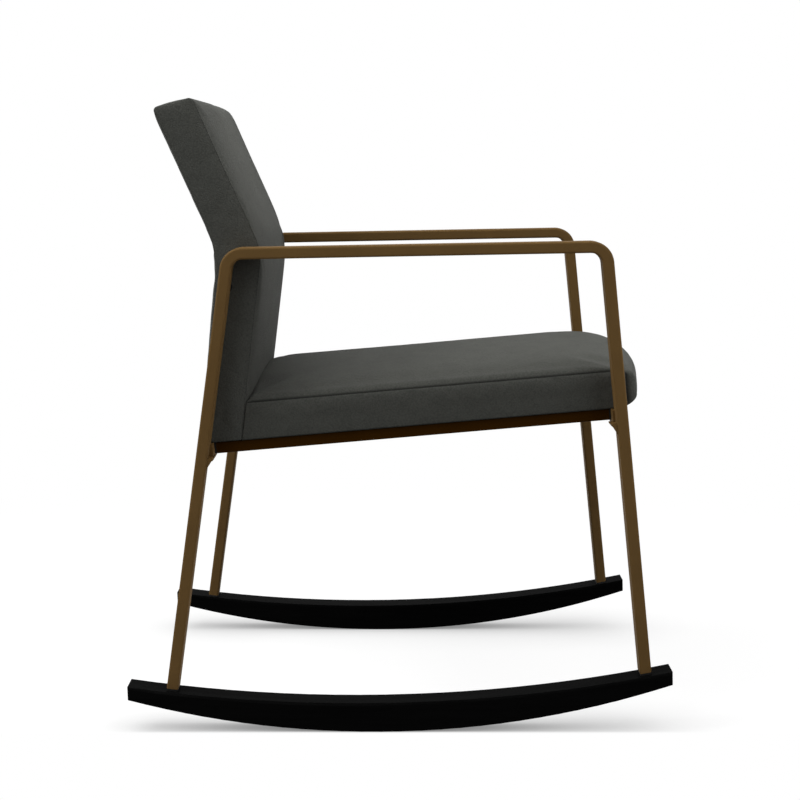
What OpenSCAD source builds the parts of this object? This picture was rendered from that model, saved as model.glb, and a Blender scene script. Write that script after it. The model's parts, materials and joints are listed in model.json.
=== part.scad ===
// Lounge rocking chair: two bent tube side frames stand on curved runners, and an
// upholstered seat and back hang between them. It faces -Y and rests on Z = 0.

/* [Stance] */
// Width over the outer faces of the two runners
overall_w = 600; // [520:5:720]
// How far the chair lies back on its runners at rest, in degrees
rest_tilt = 1.65; // [0:0.05:3]

/* [Runners] */
// Length of a runner, end to end
runner_len = 750; // [710:5:860]
// Width of a runner
runner_w = 46; // [42:1:60]
// Radius of the arc that rolls on the floor
runner_r = 1300; // [1000:10:1800]
// Height of a runner at mid length
runner_mid_h = 41; // [36:1:55]
// Height of a runner at its two ends
runner_end_h = 18.5; // [15:0.5:26]
// Rounding along the edges of a runner
runner_edge_r = 3; // [1:0.5:6]

/* [Side frames] */
// Width of the bent tube, across the chair
tube_w = 32; // [26:1:36]
// Thickness of the bent tube, as seen from the side
tube_t = 15.8; // [15:0.1:20]
// Wall of the bent tube
tube_wall = 2; // [1.5:0.1:2.5]
// Rounding along the edges of the bent tube
tube_edge_r = 3; // [2.8:0.1:4]
// Outside radius of the two bends
bend_r = 31; // [26:1:60]
// Set back of the tube from the outer face of the runner
tube_inset = 10; // [6:0.5:12]
// Height of the arm's top face at the middle of the chair
arm_h = 669; // [650:1:720]
// Fall of the arm towards the front, in degrees
arm_slope = 0.6; // [0:0.1:3]
// Lean of the front leg, in degrees
front_leg_lean = 4.4; // [2.5:0.1:6]
// Lean of the rear leg, in degrees
rear_leg_lean = 9.55; // [8:0.05:11]
// From a runner's front end to the front leg's front edge, on the floor line
front_foot_inset = 22.4; // [16:0.1:30]
// From a runner's rear end to the rear leg's rear edge, on the floor line
rear_foot_inset = 41.4; // [35:0.1:50]
// Thickness of the pad between a leg and its runner
pad_t = 3; // [2:0.5:5]

/* [Seat frame] */
// Height of the underside of the rails at the middle of the chair
rail_floor_h = 401.2; // [380:0.1:415]
// Rise of the seat towards the front, in degrees
seat_angle = 3.3; // [1.5:0.1:5]
// Height of a rail
rail_h = 16; // [15:0.5:22]
// Width of a rail
rail_w = 24; // [22:1:30]
// Wall of a rail
rail_wall = 1.5; // [1.2:0.1:2]
// Overhang of the seat cushion past the rail, at each side
rail_inset = 6; // [5:0.5:10]
// From the front leg to the middle of the front cross rail
front_cross_setback = 45; // [35:1:80]

/* [Seat brackets] */
// Least thickness of the bracket's flange
flange_t = 3; // [2.5:0.5:5]
// Thickness of the gusset and of the floor plate
gusset_t = 4; // [3:0.5:6]
// Length of the gusset along the rail
gusset_len = 8.5; // [6:0.5:14]
// Drop of the gusset along the leg
gusset_drop = 16; // [12:0.5:24]
// Thickness of the black cap on the end of a rail
rail_cap_t = 2.5; // [1.5:0.5:4]

/* [Seat cushion] */
// Height of the cushion's side panel
seat_side_h = 52; // [46:1:66]
// Gap between a cushion and the side frame
side_gap = 3; // [2.5:0.5:8]
// From the front leg's rear edge to the front of the side panel
seat_nose = 20; // [15:1:30]
// Length of the nose, over which the top turns down to the front
seat_nose_len = 73; // [40:1:90]
// Drop of the top over the nose
seat_nose_drop = 14; // [8:1:20]
// Rise of the top panel just inside its seam
seat_roll = 9.5; // [6:0.5:16]
// Width over which the top panel rises
seat_roll_w = 9; // [6:1:30]
// Further rise to the middle of the seat
seat_crown = 16; // [4:1:20]
// Bulge of a side panel past its seams
seat_bulge = 2; // [0.5:0.5:3]
// Thickness of the seat deck
deck_t = 12; // [9:1:18]

/* [Back cushion] */
// From the arm's height down to the bend in the back's front
back_bend_drop = 4.3; // [-20:0.1:20]
// Length of the back above its bend
back_high_len = 226; // [150:1:280]
// Angle between the lower part of the back and the rear leg, in degrees
back_off_leg = 1.15; // [0.8:0.05:2]
// Angle of the bend in the back, in degrees
back_bend = 30.7; // [20:0.1:36]
// Thickness of the back below its bend
back_low_t = 60; // [58:1:66]
// Thickness of the back above its bend
back_high_t = 55.5; // [55:0.5:60]
// Crown of the front panel of the back
back_crown = 8; // [0:1:12]
// Bulge of a side panel past its seams
back_bulge = 1.5; // [0.5:0.5:3]
// From the front of the back to the rear leg, at the rails
back_foot_setback = 44.8; // [43:0.1:46]
// Gap between the seat cushion and the back
seat_back_gap = 1.5; // [1:0.5:4]
// Gap under the back, above the rails
back_lift = 0.5; // [0.5:0.1:5]
// From the arm's height down to the studs of the back
stud_drop = 51.8; // [48:0.1:90]

/* [Hidden] */

// Colours as the photograph shows them
bronze = [0.33, 0.26, 0.16];
runner_black = [0.06, 0.06, 0.06];
plastic_black = [0.04, 0.04, 0.04];
steel = [0.62, 0.62, 0.60];
upholstery = [0.24, 0.25, 0.24];
foam_cream = [0.88, 0.84, 0.70];
plywood = [0.78, 0.64, 0.44];

// Smoothness of arcs, and steps of the soft forms
arc_fn = 720;
bend_fn = 96;
hole_fn = 48;
corner_steps = 5;
seat_step = 38;
back_step = 42;

// Overrun of every cut, and clearances
cut_over = 1;
slide_gap = 0.3;
thread_gap = 0.05;

// Bolts, washers and nuts
m8_r = 4;
m8_head_r = 6.5;
m8_head_h = 8;
m8_hole_r = 4.4;
m8_key_r = 3.2;
m8_key_h = 4;
m6_r = 3;
m6_head_r = 5.5;
m6_head_h = 4;
m6_hole_r = 3.3;
m6_key_r = 2.2;
m6_key_h = 2;
washer_r = 8;
washer_t = 1.6;
tee_r = 8.5;
tee_t = 1.5;
tee_barrel_r = 4;
tee_barrel_h = 8;

// Runner: its top arc follows from the heights at the middle and the ends
half_len = runner_len / 2;
foot_sagitta = runner_r - sqrt(pow(runner_r, 2) - pow(half_len, 2));
top_sagitta = foot_sagitta + runner_end_h - runner_mid_h;
runner_top_r = (pow(half_len, 2) + pow(top_sagitta, 2)) / (2 * top_sagitta);
runner_top_z = runner_mid_h + runner_top_r;
runner_x = overall_w / 2 - runner_w / 2;
counterbore_r = 9;
counterbore_h = 11.5;

// Side frame, seen from the side as [y, z]: directions, mid lines and corners
tube_x = overall_w / 2 - tube_inset - tube_w / 2;
tube_in_x = tube_x - tube_w / 2;
bend_mid_r = bend_r - tube_t / 2;
bend_swell = 0.05;
bend_lap = 0.6;
up_rear = [-sin(rear_leg_lean), cos(rear_leg_lean)];
up_front = [sin(front_leg_lean), cos(front_leg_lean)];
along_arm = [-cos(arm_slope), -sin(arm_slope)];
in_rear = [-cos(rear_leg_lean), -sin(rear_leg_lean)];
in_front = [cos(front_leg_lean), -sin(front_leg_lean)];
in_arm = [sin(arm_slope), -cos(arm_slope)];
rear_foot = [half_len - rear_foot_inset, 0];
front_foot = [front_foot_inset - half_len, 0];
rear_mid = rear_foot + in_rear * tube_t / 2;
front_mid = front_foot + in_front * tube_t / 2;
arm_mid = [0, arm_h] + in_arm * tube_t / 2;
rear_corner = meet(rear_mid, up_rear, arm_mid, along_arm);
front_corner = meet(front_mid, up_front, arm_mid, along_arm);
rear_turn = 90 + arm_slope - rear_leg_lean;
front_turn = 90 - front_leg_lean - arm_slope;
rear_tangent = bend_mid_r * tan(rear_turn / 2);
front_tangent = bend_mid_r * tan(front_turn / 2);

// Feet: how far up each leg's mid line the runner's two arcs are crossed
rear_top = arc_rise(rear_mid, up_rear, runner_top_r, runner_top_z);
front_top = arc_rise(front_mid, up_front, runner_top_r, runner_top_z);
rear_under = arc_rise(rear_mid, up_rear, runner_r, runner_r);
front_under = arc_rise(front_mid, up_front, runner_r, runner_r);
leg_block_lift = 6;
leg_block_h = 22;
leg_block_edge_r = 0.8;
bolt_reach = 18;

// Seat frame: its origin lies on the underside of the rails at the middle
along_rail = [cos(seat_angle), -sin(seat_angle)];
rail_normal = [sin(seat_angle), cos(seat_angle)];
rail_origin = [0, rail_floor_h];
rear_knee = meet(rear_foot + in_rear * tube_t, up_rear, rail_origin, along_rail);
front_knee = meet(front_foot + in_front * tube_t, up_front, rail_origin, along_rail);
rear_knee_y = (rear_knee - rail_origin) * along_rail;
front_knee_y = (front_knee - rail_origin) * along_rail;
rear_slant = rear_leg_lean + seat_angle;
front_slant = front_leg_lean - seat_angle;
rear_rail_y = rear_knee_y - wedge(rear_slant) - flange_t - rail_cap_t;
front_rail_y = front_knee_y + wedge(front_slant) + flange_t + rail_cap_t;
seat_half_w = tube_in_x - side_gap - seat_bulge;
rail_x = seat_half_w - rail_inset - rail_w / 2;
rail_in_x = rail_x - rail_w / 2;
rail_edge_r = 2;
rail_block_len = 18;
rail_block_edge_r = 1;
flange_out_x = tube_in_x + tube_w / 3;
gusset_out_x = tube_in_x + tube_w - tube_edge_r;
front_cross_y = front_knee_y + front_cross_setback;
rear_cross_y = rear_rail_y - rail_w / 2;

// Back: its origin is its lower front corner, and its lower part runs up local Z
back_lean = rear_leg_lean - back_off_leg;
back_rel_lean = back_lean + seat_angle;
back_foot = [rear_knee_y - back_foot_setback, rail_h + back_lift];
back_foot_z = rail_origin[1] + back_foot * [-sin(seat_angle), cos(seat_angle)];
back_low_len = (arm_h - back_bend_drop - back_foot_z) / cos(back_lean);
back_half_w = tube_in_x - side_gap - back_bulge;
back_top_lag = 8.6;
back_up = [sin(back_bend), cos(back_bend)];
back_out = [cos(back_bend), -sin(back_bend)];
back_top_run = [cos(back_bend - back_top_lag), -sin(back_bend - back_top_lag)];
back_knee = [0, back_low_len];
back_tip = back_knee + back_up * back_high_len;
back_high_rear = back_knee + back_out * back_high_t;
back_corners = [
  [back_low_t, -back_low_t * tan(back_rel_lean)],
  [0, 0], back_knee, back_tip,
  meet(back_tip, back_top_run, back_high_rear, back_up),
  meet([back_low_t, 0], [0, 1], back_high_rear, back_up)];
back_front_bend_r = 75;
back_rear_bend_r = 150;
back_top_r = 8;
back_foot_r = 5;
back_radii = [back_foot_r, back_foot_r, back_front_bend_r, back_top_r, back_top_r,
              back_rear_bend_r];
back_inset = 14;
back_rear_share = 0.4;
back_top_share = 0.5;

// Studs that hang the back in keyholes of the rear legs
stud = rear_mid + up_rear * (arm_h - stud_drop - rear_mid[1]) / up_rear[1];
stud_seat = [(stud - rail_origin) * along_rail, (stud - rail_origin) * rail_normal];
stud_off = stud_seat - back_foot;
stud_back = [stud_off * [cos(back_rel_lean), sin(back_rel_lean)],
             stud_off * [-sin(back_rel_lean), cos(back_rel_lean)]];
stud_r = 3;
stud_head_r = 5;
stud_head_h = 3;
stud_depth = 16;
keyhole_rise = 12;
spacer_r = 9.5;
plate_t = 4;
plate_h = 50;
plate_edge_r = 4;

// Panel and foam inside the back
panel_t = 12;
panel_off = stud_back[0] - panel_t / 2;
panel_margin = 14;
back_skin = 6;
panel_half_w = back_half_w - 2 * plate_t - plate_t;

// Lower brackets of the back, on the rear cross rail
back_bracket_t = 3;
back_bracket_w = 50;
back_bracket_h = 78;
back_bracket_x = seat_half_w / 2;
back_bolt_low = 24;
back_bolt_high = 50;
panel_foot = back_foot + panel_off * [cos(back_rel_lean), sin(back_rel_lean)];
back_rise = [-sin(back_rel_lean), cos(back_rel_lean)];
bracket_heel = meet(panel_foot, back_rise, [0, rail_h], [1, 0]);

// Seat cushion, deck and foam
seat_base_z = rail_h;
seat_seam_z = rail_h + seat_side_h;
seat_front_y = front_knee_y - seat_nose;
seat_corners = [
  [seat_rear_at(seat_base_z), seat_base_z], [seat_front_y, seat_base_z],
  [seat_front_y, seat_seam_z], [seat_rear_at(seat_seam_z), seat_seam_z]];
seat_rear_r = 3;
seat_foot_r = 4;
seat_tip_r = 5;
seat_radii = [seat_rear_r, seat_foot_r, seat_tip_r, seat_rear_r];
seat_under_len = 21;
seat_under_rise = 10;
seat_inset = 13;
seat_front_share = 1.4;
seat_front_ramp = 14;
seat_rear_ramp = 26;
deck_half_w = seat_half_w - rail_inset;
deck_edge_r = 12;
deck_margin = 6;
deck_front_y = seat_front_y + seat_under_len + deck_margin;
deck_rear_y = seat_rear_at(seat_base_z + deck_t) - deck_margin;
deck_screw_shares = [-0.66, 0.6];
deck_access_r = 6.5;
foam_margin = 8;
foam_base_z = seat_base_z + deck_t;
foam_top_z = seat_seam_z;
dust_t = 0.8;
dust_margin = 1;

// Stations across a cushion, closer together towards its sides
cushion_shares = [1, 0.99, 0.965, 0.93, 0.89, 0.78, 0.58, 0.3];

// Crossing point of two lines, each a point and a direction
function meet(p, u, q, v) =
  p + u * ((q[0] - p[0]) * v[1] - (q[1] - p[1]) * v[0]) / (u[0] * v[1] - u[1] * v[0]);

// Distance from a point along a direction to the lower side of an arc centred at height z
function arc_rise(p, u, r, z) =
  let (q = p - [0, z], b = q * u)
  -b - sqrt(b * b - q * q + r * r);

// How far a leg's edge crosses the end of a rail over the rail's height
function wedge(slant) = max(0, rail_h * tan(slant));

// Front of the lower back at a height above the rails, and the rear of the seat
function back_front_at(z) = back_foot[0] - (z - back_foot[1]) * tan(back_rel_lean);
function seat_rear_at(z) = back_front_at(z) - seat_back_gap / cos(back_rel_lean);

// Corner b between a and c turned into an arc
function unit(v) = v / norm(v);
function corner_arc(a, b, c, r) =
  let (u = unit(a - b),
       v = unit(c - b),
       half = acos(u * v) / 2,
       mid = b + unit(u + v) * r / sin(half),
       p = b + u * r / tan(half) - mid,
       q = b + v * r / tan(half) - mid,
       start = atan2(p[1], p[0]),
       turn = atan2(p[0] * q[1] - p[1] * q[0], p * q))
  [for (i = [0:corner_steps])
    mid + r * [cos(start + turn * i / corner_steps), sin(start + turn * i / corner_steps)]];
function eased_corner(a, b, c, reach_a, reach_c) =
  let (u = unit(a - b) * reach_a, v = unit(c - b) * reach_c)
  [for (i = [0:corner_steps])
    let (t = 90 * i / corner_steps) b + u * (1 - sin(t)) + v * (1 - cos(t))];
function rounded(pts, radii) =
  let (n = len(pts))
  [for (i = [0:n - 1]) each corner_arc(pts[(i + n - 1) % n], pts[i], pts[(i + 1) % n], radii[i])];

// Clockwise outline with every edge moved inwards
function edge_normal(a, b) = let (d = unit(b - a)) [-d[1], d[0]];
function inset_by(pts, gap) =
  let (n = len(pts))
  [for (i = [0:n - 1])
    let (a = pts[(i + n - 1) % n], b = pts[i], c = pts[(i + 1) % n])
    meet(b - edge_normal(a, b) * gap, b - a, b - edge_normal(b, c) * gap, c - b)];

// Outline with its long stretches cut into as many steps as those of a second outline
function stepped(pts, like, step) =
  let (n = len(pts))
  [for (i = [0:n - 1])
    let (a = pts[i], b = pts[(i + 1) % n], k = max(1, ceil(norm(like[(i + 1) % n] - like[i]) / step)))
    each [for (j = [0:k - 1]) a + (b - a) * j / k]];

// Outward normal at each point of a clockwise outline
function normals(pts) =
  let (n = len(pts))
  [for (i = [0:n - 1])
    unit(edge_normal(pts[(i + n - 1) % n], pts[i]) + edge_normal(pts[i], pts[(i + 1) % n]))];

// Share of a panel's roll reached at a place across the cushion, in a quarter round
function rolled(x, half_w, roll_w) =
  let (v = 1 - min(1, (half_w - abs(x)) / roll_w))
  sqrt(1 - v * v);

// How far the seat's panels rise at an outline point with its normal
function seat_weight(p, n) =
  pow(max(0, n[1]), 2) * min(1, max(0, seat_rear_at(p[1]) - p[0]) / seat_rear_ramp)
  + seat_front_share * pow(max(0, -n[0]), 2)
    * (p[0] < 0 ? min(1, (p[1] - seat_base_z) / seat_front_ramp) : 0);

// How far the back's panels rise
function back_weight(p, n) =
  min(1, max(0, p[1]) / back_step)
  * (pow(max(0, -n[0], -n * back_out), 2)
     + back_top_share * pow(max(0, n * edge_normal([0, 0], back_top_run)), 2)
     + back_rear_share * pow(max(0, n[0], n * back_out), 2));

// Triangles that close an outline, each taking the shorter of two steps across it
function zip(pts, low, high) =
  high - low < 2 ? []
  : norm(pts[low + 1] - pts[high]) < norm(pts[high - 1] - pts[low])
    ? [[low, low + 1, high], each zip(pts, low + 1, high)]
    : [[low, high - 1, high], each zip(pts, low, high - 1)];

// Closed cushion: from its side outline it turns into a middle outline, which is lifted
// along its normals by weight
module cushion(pts, mid, inner, weights, half_w, roll, roll_w, crown, bulge) {
  n = len(pts);
  ns = normals(mid);
  xs = [each [for (s = cushion_shares) -s * half_w], 0,
        each [for (i = [len(cushion_shares) - 1:-1:0]) cushion_shares[i] * half_w]];
  rings = [
    [for (p = inner) [-half_w - bulge, p[0], p[1]]],
    for (x = xs)
      let (g = rolled(x, half_w, roll_w), rise = roll * g + crown * (1 - pow(x / half_w, 2)))
      [for (i = [0:n - 1])
        let (p = pts[i] * (1 - g) + mid[i] * g + ns[i] * weights[i] * rise) [x, p[0], p[1]]],
    [for (p = inner) [half_w + bulge, p[0], p[1]]]
  ];
  m = len(rings);
  sides = [for (k = [0:m - 2], i = [0:n - 1])
    let (j = (i + 1) % n)
    each [[k * n + i, k * n + j, (k + 1) * n + j], [k * n + i, (k + 1) * n + j, (k + 1) * n + i]]];
  cap = zip(inner, 0, n - 1);
  first = [for (t = cap) [t[2], t[1], t[0]]];
  last = [for (t = cap) t + (m - 1) * n * [1, 1, 1]];
  polyhedron(points = [for (r = rings) each r], faces = [each first, each sides, each last]);
}

// Places: the resting pose, the frames of seat and back, and both sides
module at_rest() {
  end_z = foot_sagitta + runner_end_h / 2;
  translate([0, (runner_r - end_z) * sin(rest_tilt), runner_r])
    rotate([-rest_tilt, 0, 0])
      translate([0, 0, -runner_r])
        children();
}
module in_seat_frame() {
  translate([0, 0, rail_floor_h]) rotate([-seat_angle, 0, 0]) children();
}
module in_back_frame() {
  in_seat_frame()
    translate([0, back_foot[0], back_foot[1]]) rotate([back_rel_lean, 0, 0]) children();
}
module both_sides() {
  children();
  mirror([1, 0, 0]) children();
}
module to_right() {
  mirror([1, 0, 0]) children();
}

// Side view drawing [y, z] made solid from x0 to x1, and rods along X, Y and Z
module side_solid(x0, x1) {
  translate([x0, 0, 0]) rotate([90, 0, 90]) linear_extrude(x1 - x0) children();
}
module rod_x(p, r, length) {
  translate(p) rotate([0, 90, 0]) cylinder(r = r, h = length, $fn = hole_fn);
}
module rod_y(p, r, length) {
  translate(p) rotate([-90, 0, 0]) cylinder(r = r, h = length, $fn = hole_fn);
}
module rod_z(p, r, length) {
  translate(p) cylinder(r = r, h = length, $fn = hole_fn);
}

// Flat sections
module rounded_rect(w, h, r) {
  square([w - 2 * r, h], center = true);
  square([w, h - 2 * r], center = true);
  for (x = [-1, 1], y = [-1, 1])
    translate([x * (w / 2 - r), y * (h / 2 - r)]) circle(r = r, $fn = hole_fn);
}
module tube_section(w, h, wall, r) {
  difference() {
    rounded_rect(w, h, r);
    rounded_rect(w - 2 * wall, h - 2 * wall, max(r - wall, r / 4));
  }
}

// Screw with a socket, its head under Z = 0 and its shank up Z
module socket_screw(r, head_r, head_h, key_r, key_h, reach) {
  difference() {
    union() {
      rod_z([0, 0, -head_h], head_r, head_h);
      rod_z([0, 0, 0], r, reach);
    }
    translate([0, 0, -head_h - cut_over]) cylinder(r = key_r, h = key_h + cut_over, $fn = 6);
  }
}
module m6_screw(reach) {
  socket_screw(m6_r, m6_head_r, m6_head_h, m6_key_r, m6_key_h, reach);
}

// Tee nut with its flange's top face at Z = 0, and the hole it is pressed into
module tee_nut() {
  difference() {
    union() {
      rod_z([0, 0, -tee_t], tee_r, tee_t);
      rod_z([0, 0, -tee_barrel_h], tee_barrel_r - thread_gap, tee_barrel_h);
    }
    rod_z([0, 0, -tee_barrel_h - cut_over], m6_r + thread_gap, tee_barrel_h + 2 * cut_over);
  }
}
module tee_hole(board_t) {
  rod_z([0, 0, -tee_t], tee_r + thread_gap, tee_t + cut_over);
  rod_z([0, 0, -board_t - cut_over], tee_barrel_r, board_t + 2 * cut_over);
}

// Runner: the wheel of its lower arc less the wheel of its upper arc, edges rounded
module wheel_part(z, turn) {
  translate([0, 0, z]) rotate([0, 90, 0]) rotate([0, 0, -turn / 2])
    rotate_extrude(angle = turn, $fn = arc_fn) children();
}
module rim_section() {
  depth = 2 * runner_mid_h;
  edge = runner_edge_r;
  translate([runner_r - depth, -runner_w / 2]) square([depth - edge, runner_w]);
  translate([runner_r - 2 * edge, edge - runner_w / 2])
    square([2 * edge, runner_w - 2 * edge]);
  for (s = [-1, 1])
    translate([runner_r - edge, s * (runner_w / 2 - edge)]) circle(r = edge, $fn = hole_fn);
}
module groove_section() {
  depth = 4 * runner_mid_h;
  edge = runner_edge_r;
  translate([runner_top_r - depth, -runner_w / 2 - cut_over])
    square([depth, runner_w + 2 * cut_over]);
  for (s = [0, 1]) mirror([0, s]) difference() {
    translate([runner_top_r - edge, runner_w / 2 - edge])
      square([2 * edge, edge + cut_over]);
    translate([runner_top_r + edge, runner_w / 2 - edge]) circle(r = edge, $fn = hole_fn);
  }
}
module runner_bar() {
  intersection() {
    difference() {
      wheel_part(runner_r, 4 * asin(half_len / runner_r)) rim_section();
      wheel_part(runner_top_z, 6 * asin(half_len / runner_top_r)) groove_section();
    }
    linear_extrude(3 * runner_mid_h)
      eased_plan(runner_w + 2 * cut_over, runner_len, runner_edge_r + cut_over);
  }
}
module eased_plan(w, l, ease) {
  hull() {
    square([w, l - 2 * ease], center = true);
    square([w - 2 * ease, l], center = true);
  }
}
module runner() {
  difference() {
    translate([runner_x, 0, 0]) runner_bar();
    for (rear = [true, false]) {
      under = rear ? rear_under : front_under;
      on_foot(rear) rod_z([0, 0, under - counterbore_h], counterbore_r, 2 * counterbore_h);
      on_foot(rear) rod_z([0, 0, under], m8_hole_r, 2 * runner_mid_h);
    }
  }
}

// Feet: local Z runs up a leg's mid line from the floor line
module on_foot(rear) {
  p = rear ? rear_mid : front_mid;
  translate([tube_x, p[0], p[1]]) rotate([rear ? rear_leg_lean : -front_leg_lean, 0, 0])
    children();
}
module above_runner(gap) {
  translate([0, 0, runner_top_z]) rotate([0, 90, 0])
    cylinder(r = runner_top_r - gap, h = overall_w, center = true, $fn = arc_fn);
}
module leg_foot_pad(rear) {
  top = rear ? rear_top : front_top;
  difference() {
    intersection() {
      on_foot(rear) translate([0, 0, top - tube_t]) linear_extrude(2 * tube_t)
        rounded_rect(tube_w - slide_gap, tube_t - slide_gap, tube_edge_r);
      above_runner(0);
    }
    above_runner(pad_t);
    on_foot(rear) rod_z([0, 0, top - tube_t], m8_hole_r, 2 * tube_t);
  }
}
module leg_threaded_block(rear) {
  top = rear ? rear_top : front_top;
  w = tube_w - 2 * tube_wall - thread_gap;
  t = tube_t - 2 * tube_wall - thread_gap;
  on_foot(rear) translate([0, 0, top + leg_block_lift]) difference() {
    linear_extrude(leg_block_h) rounded_rect(w, t, leg_block_edge_r + tube_edge_r / 4);
    rod_z([0, 0, -cut_over], m8_r + thread_gap, leg_block_h + 2 * cut_over);
  }
}
module runner_bolt_washer(rear) {
  under = rear ? rear_under : front_under;
  on_foot(rear) translate([0, 0, under + counterbore_h - washer_t]) difference() {
    rod_z([0, 0, 0], washer_r, washer_t);
    rod_z([0, 0, -cut_over], m8_hole_r, washer_t + 2 * cut_over);
  }
}
module runner_bolt(rear) {
  seat = (rear ? rear_under : front_under) + counterbore_h - washer_t;
  reach = (rear ? rear_top : front_top) + leg_block_lift + bolt_reach - seat;
  on_foot(rear) translate([0, 0, seat])
    socket_screw(m8_r, m8_head_r, m8_head_h, m8_key_r, m8_key_h, reach);
}
module at_feet() {
  both_sides() {
    children(0);
    children(1);
  }
}

// Side frame: rear leg, arm and front leg in one tube, cut along the runner at its feet.
// Local Z runs along the tube, and each turn bends it towards local -Y. The wall swells
// a little in a bend, and a straight run laps into it
module tube_run(length) {
  translate([0, 0, -bend_lap]) linear_extrude(length + 2 * bend_lap)
    tube_section(tube_w, tube_t, tube_wall, tube_edge_r);
}
module tube_turn(turn) {
  swell = 2 * bend_swell;
  translate([0, -bend_mid_r, 0]) rotate([90, 0, 90]) rotate_extrude(angle = turn, $fn = bend_fn)
    translate([bend_mid_r, 0])
      tube_section(tube_t + swell, tube_w + swell, tube_wall + swell, tube_edge_r + bend_swell);
}
module past_turn(turn) {
  translate([0, -bend_mid_r, 0]) rotate([turn, 0, 0]) translate([0, bend_mid_r, 0]) children();
}
module bent_tube() {
  rear_run = norm(rear_corner - rear_mid) - rear_tangent;
  arm_run = norm(front_corner - rear_corner) - rear_tangent - front_tangent;
  front_run = norm(front_corner - front_mid) - front_tangent;
  on_foot(true) {
    tube_run(rear_run);
    translate([0, 0, rear_run]) {
      tube_turn(rear_turn);
      past_turn(rear_turn) {
        tube_run(arm_run);
        translate([0, 0, arm_run]) {
          tube_turn(front_turn);
          past_turn(front_turn) tube_run(front_run);
        }
      }
    }
  }
}
module side_frame() {
  depth = tube_wall + 2 * cut_over;
  difference() {
    intersection() {
      bent_tube();
      above_runner(pad_t);
    }
    translate([tube_in_x - cut_over, stud[0], stud[1]]) rotate([rear_leg_lean, 0, 0]) {
      rod_x([0, 0, 0], stud_r + slide_gap, depth);
      rod_x([0, 0, keyhole_rise], stud_head_r + slide_gap, depth);
      translate([0, -stud_r - slide_gap, 0])
        cube([depth, 2 * (stud_r + slide_gap), keyhole_rise]);
    }
  }
}

// Seat bracket, its rail towards local +Y: flange, floor plate, and gusset on the leg
module seat_bracket(slant) {
  w = wedge(slant);
  difference() {
    union() {
      side_solid(rail_in_x, tube_in_x)
        polygon([[w, -gusset_t], [w, rail_h], [w + flange_t, rail_h], [w + flange_t, -gusset_t]]);
      side_solid(tube_in_x, flange_out_x)
        polygon([[0, 0], [rail_h * tan(slant), rail_h], [w + flange_t, rail_h],
                 [w + flange_t, 0]]);
      side_solid(tube_in_x, gusset_out_x)
        polygon([[-gusset_t * tan(slant), -gusset_t], [0, 0], [gusset_len, 0],
                 [gusset_len, -gusset_t / 2], [gusset_len - gusset_t / 2, -gusset_t]]);
      side_solid(gusset_out_x - gusset_t, gusset_out_x)
        polygon([[0, 0], [gusset_len, 0], [-gusset_drop * tan(slant), -gusset_drop]]);
    }
    rod_y([rail_x, w - cut_over, rail_h / 2], m8_hole_r, flange_t + 2 * cut_over);
  }
}
module front_bracket() {
  in_seat_frame() translate([0, front_knee_y, 0]) seat_bracket(front_slant);
}
module rear_bracket() {
  in_seat_frame() translate([0, rear_knee_y, 0]) mirror([0, 1, 0]) seat_bracket(rear_slant);
}

// Side rails with the places at their ends, where local +Y runs into the rail
module seat_rail() {
  in_seat_frame() difference() {
    translate([rail_x, rear_rail_y, rail_h / 2]) rotate([90, 0, 0])
      linear_extrude(rear_rail_y - front_rail_y)
        tube_section(rail_w, rail_h, rail_wall, rail_edge_r);
    at_deck_screws() {
      rod_z([0, 0, 0], m6_hole_r, rail_h + cut_over);
      rod_z([0, 0, -cut_over], deck_access_r, rail_h / 2);
    }
  }
}
module at_rail_ends() {
  in_seat_frame() both_sides() {
    translate([rail_x, front_rail_y, rail_h / 2]) children();
    translate([rail_x, rear_rail_y, rail_h / 2]) mirror([0, 1, 0]) children();
  }
}
module rail_end_cap() {
  translate([0, -rail_cap_t, 0]) difference() {
    rotate([-90, 0, 0]) linear_extrude(rail_cap_t) rounded_rect(rail_w, rail_h, rail_edge_r);
    rod_y([0, -cut_over, 0], m8_hole_r, rail_cap_t + 2 * cut_over);
  }
}
module rail_threaded_block() {
  w = rail_w - 2 * rail_wall - thread_gap;
  h = rail_h - 2 * rail_wall - thread_gap;
  difference() {
    rotate([-90, 0, 0]) linear_extrude(rail_block_len) rounded_rect(w, h, rail_block_edge_r);
    rod_y([0, -cut_over, 0], m8_r + thread_gap, rail_block_len + 2 * cut_over);
  }
}
module seat_frame_bolt() {
  grip = rail_cap_t + flange_t;
  translate([0, -grip, 0]) rotate([-90, 0, 0])
    socket_screw(m8_r, m8_head_r, m6_head_h, m8_key_r, m6_key_h, grip + rail_block_len - cut_over);
}
module cross_rail(y) {
  translate([-rail_in_x, y, rail_h / 2]) rotate([90, 0, 90]) linear_extrude(2 * rail_in_x)
    tube_section(rail_w, rail_h, rail_wall, rail_edge_r);
}

// Deck, its screws from inside the rails, and the dust cover between the rails
module at_deck_screws() {
  mid = (deck_front_y + deck_rear_y) / 2;
  for (share = deck_screw_shares)
    translate([rail_x, mid + share * (deck_rear_y - mid), 0]) children();
}
module deck_board(gap, h) {
  translate([0, (deck_front_y + deck_rear_y) / 2, 0]) linear_extrude(h)
    rounded_rect(2 * (deck_half_w + gap), deck_rear_y - deck_front_y + 2 * gap, deck_edge_r);
}

// Foam of the seat, or with a gap the space for it
module seat_foam_solid(gap) {
  half = seat_half_w - foam_margin + gap;
  front = seat_front_y + foam_margin - gap;
  rear = foam_margin - gap;
  side_solid(-half, half)
    polygon([[seat_rear_at(foam_base_z) - rear, foam_base_z], [front, foam_base_z],
             [front, foam_top_z - seat_nose_drop + gap],
             [front + seat_nose_len / 2, foam_top_z + gap],
             [seat_rear_at(foam_top_z) - rear, foam_top_z + gap]]);
}

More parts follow.
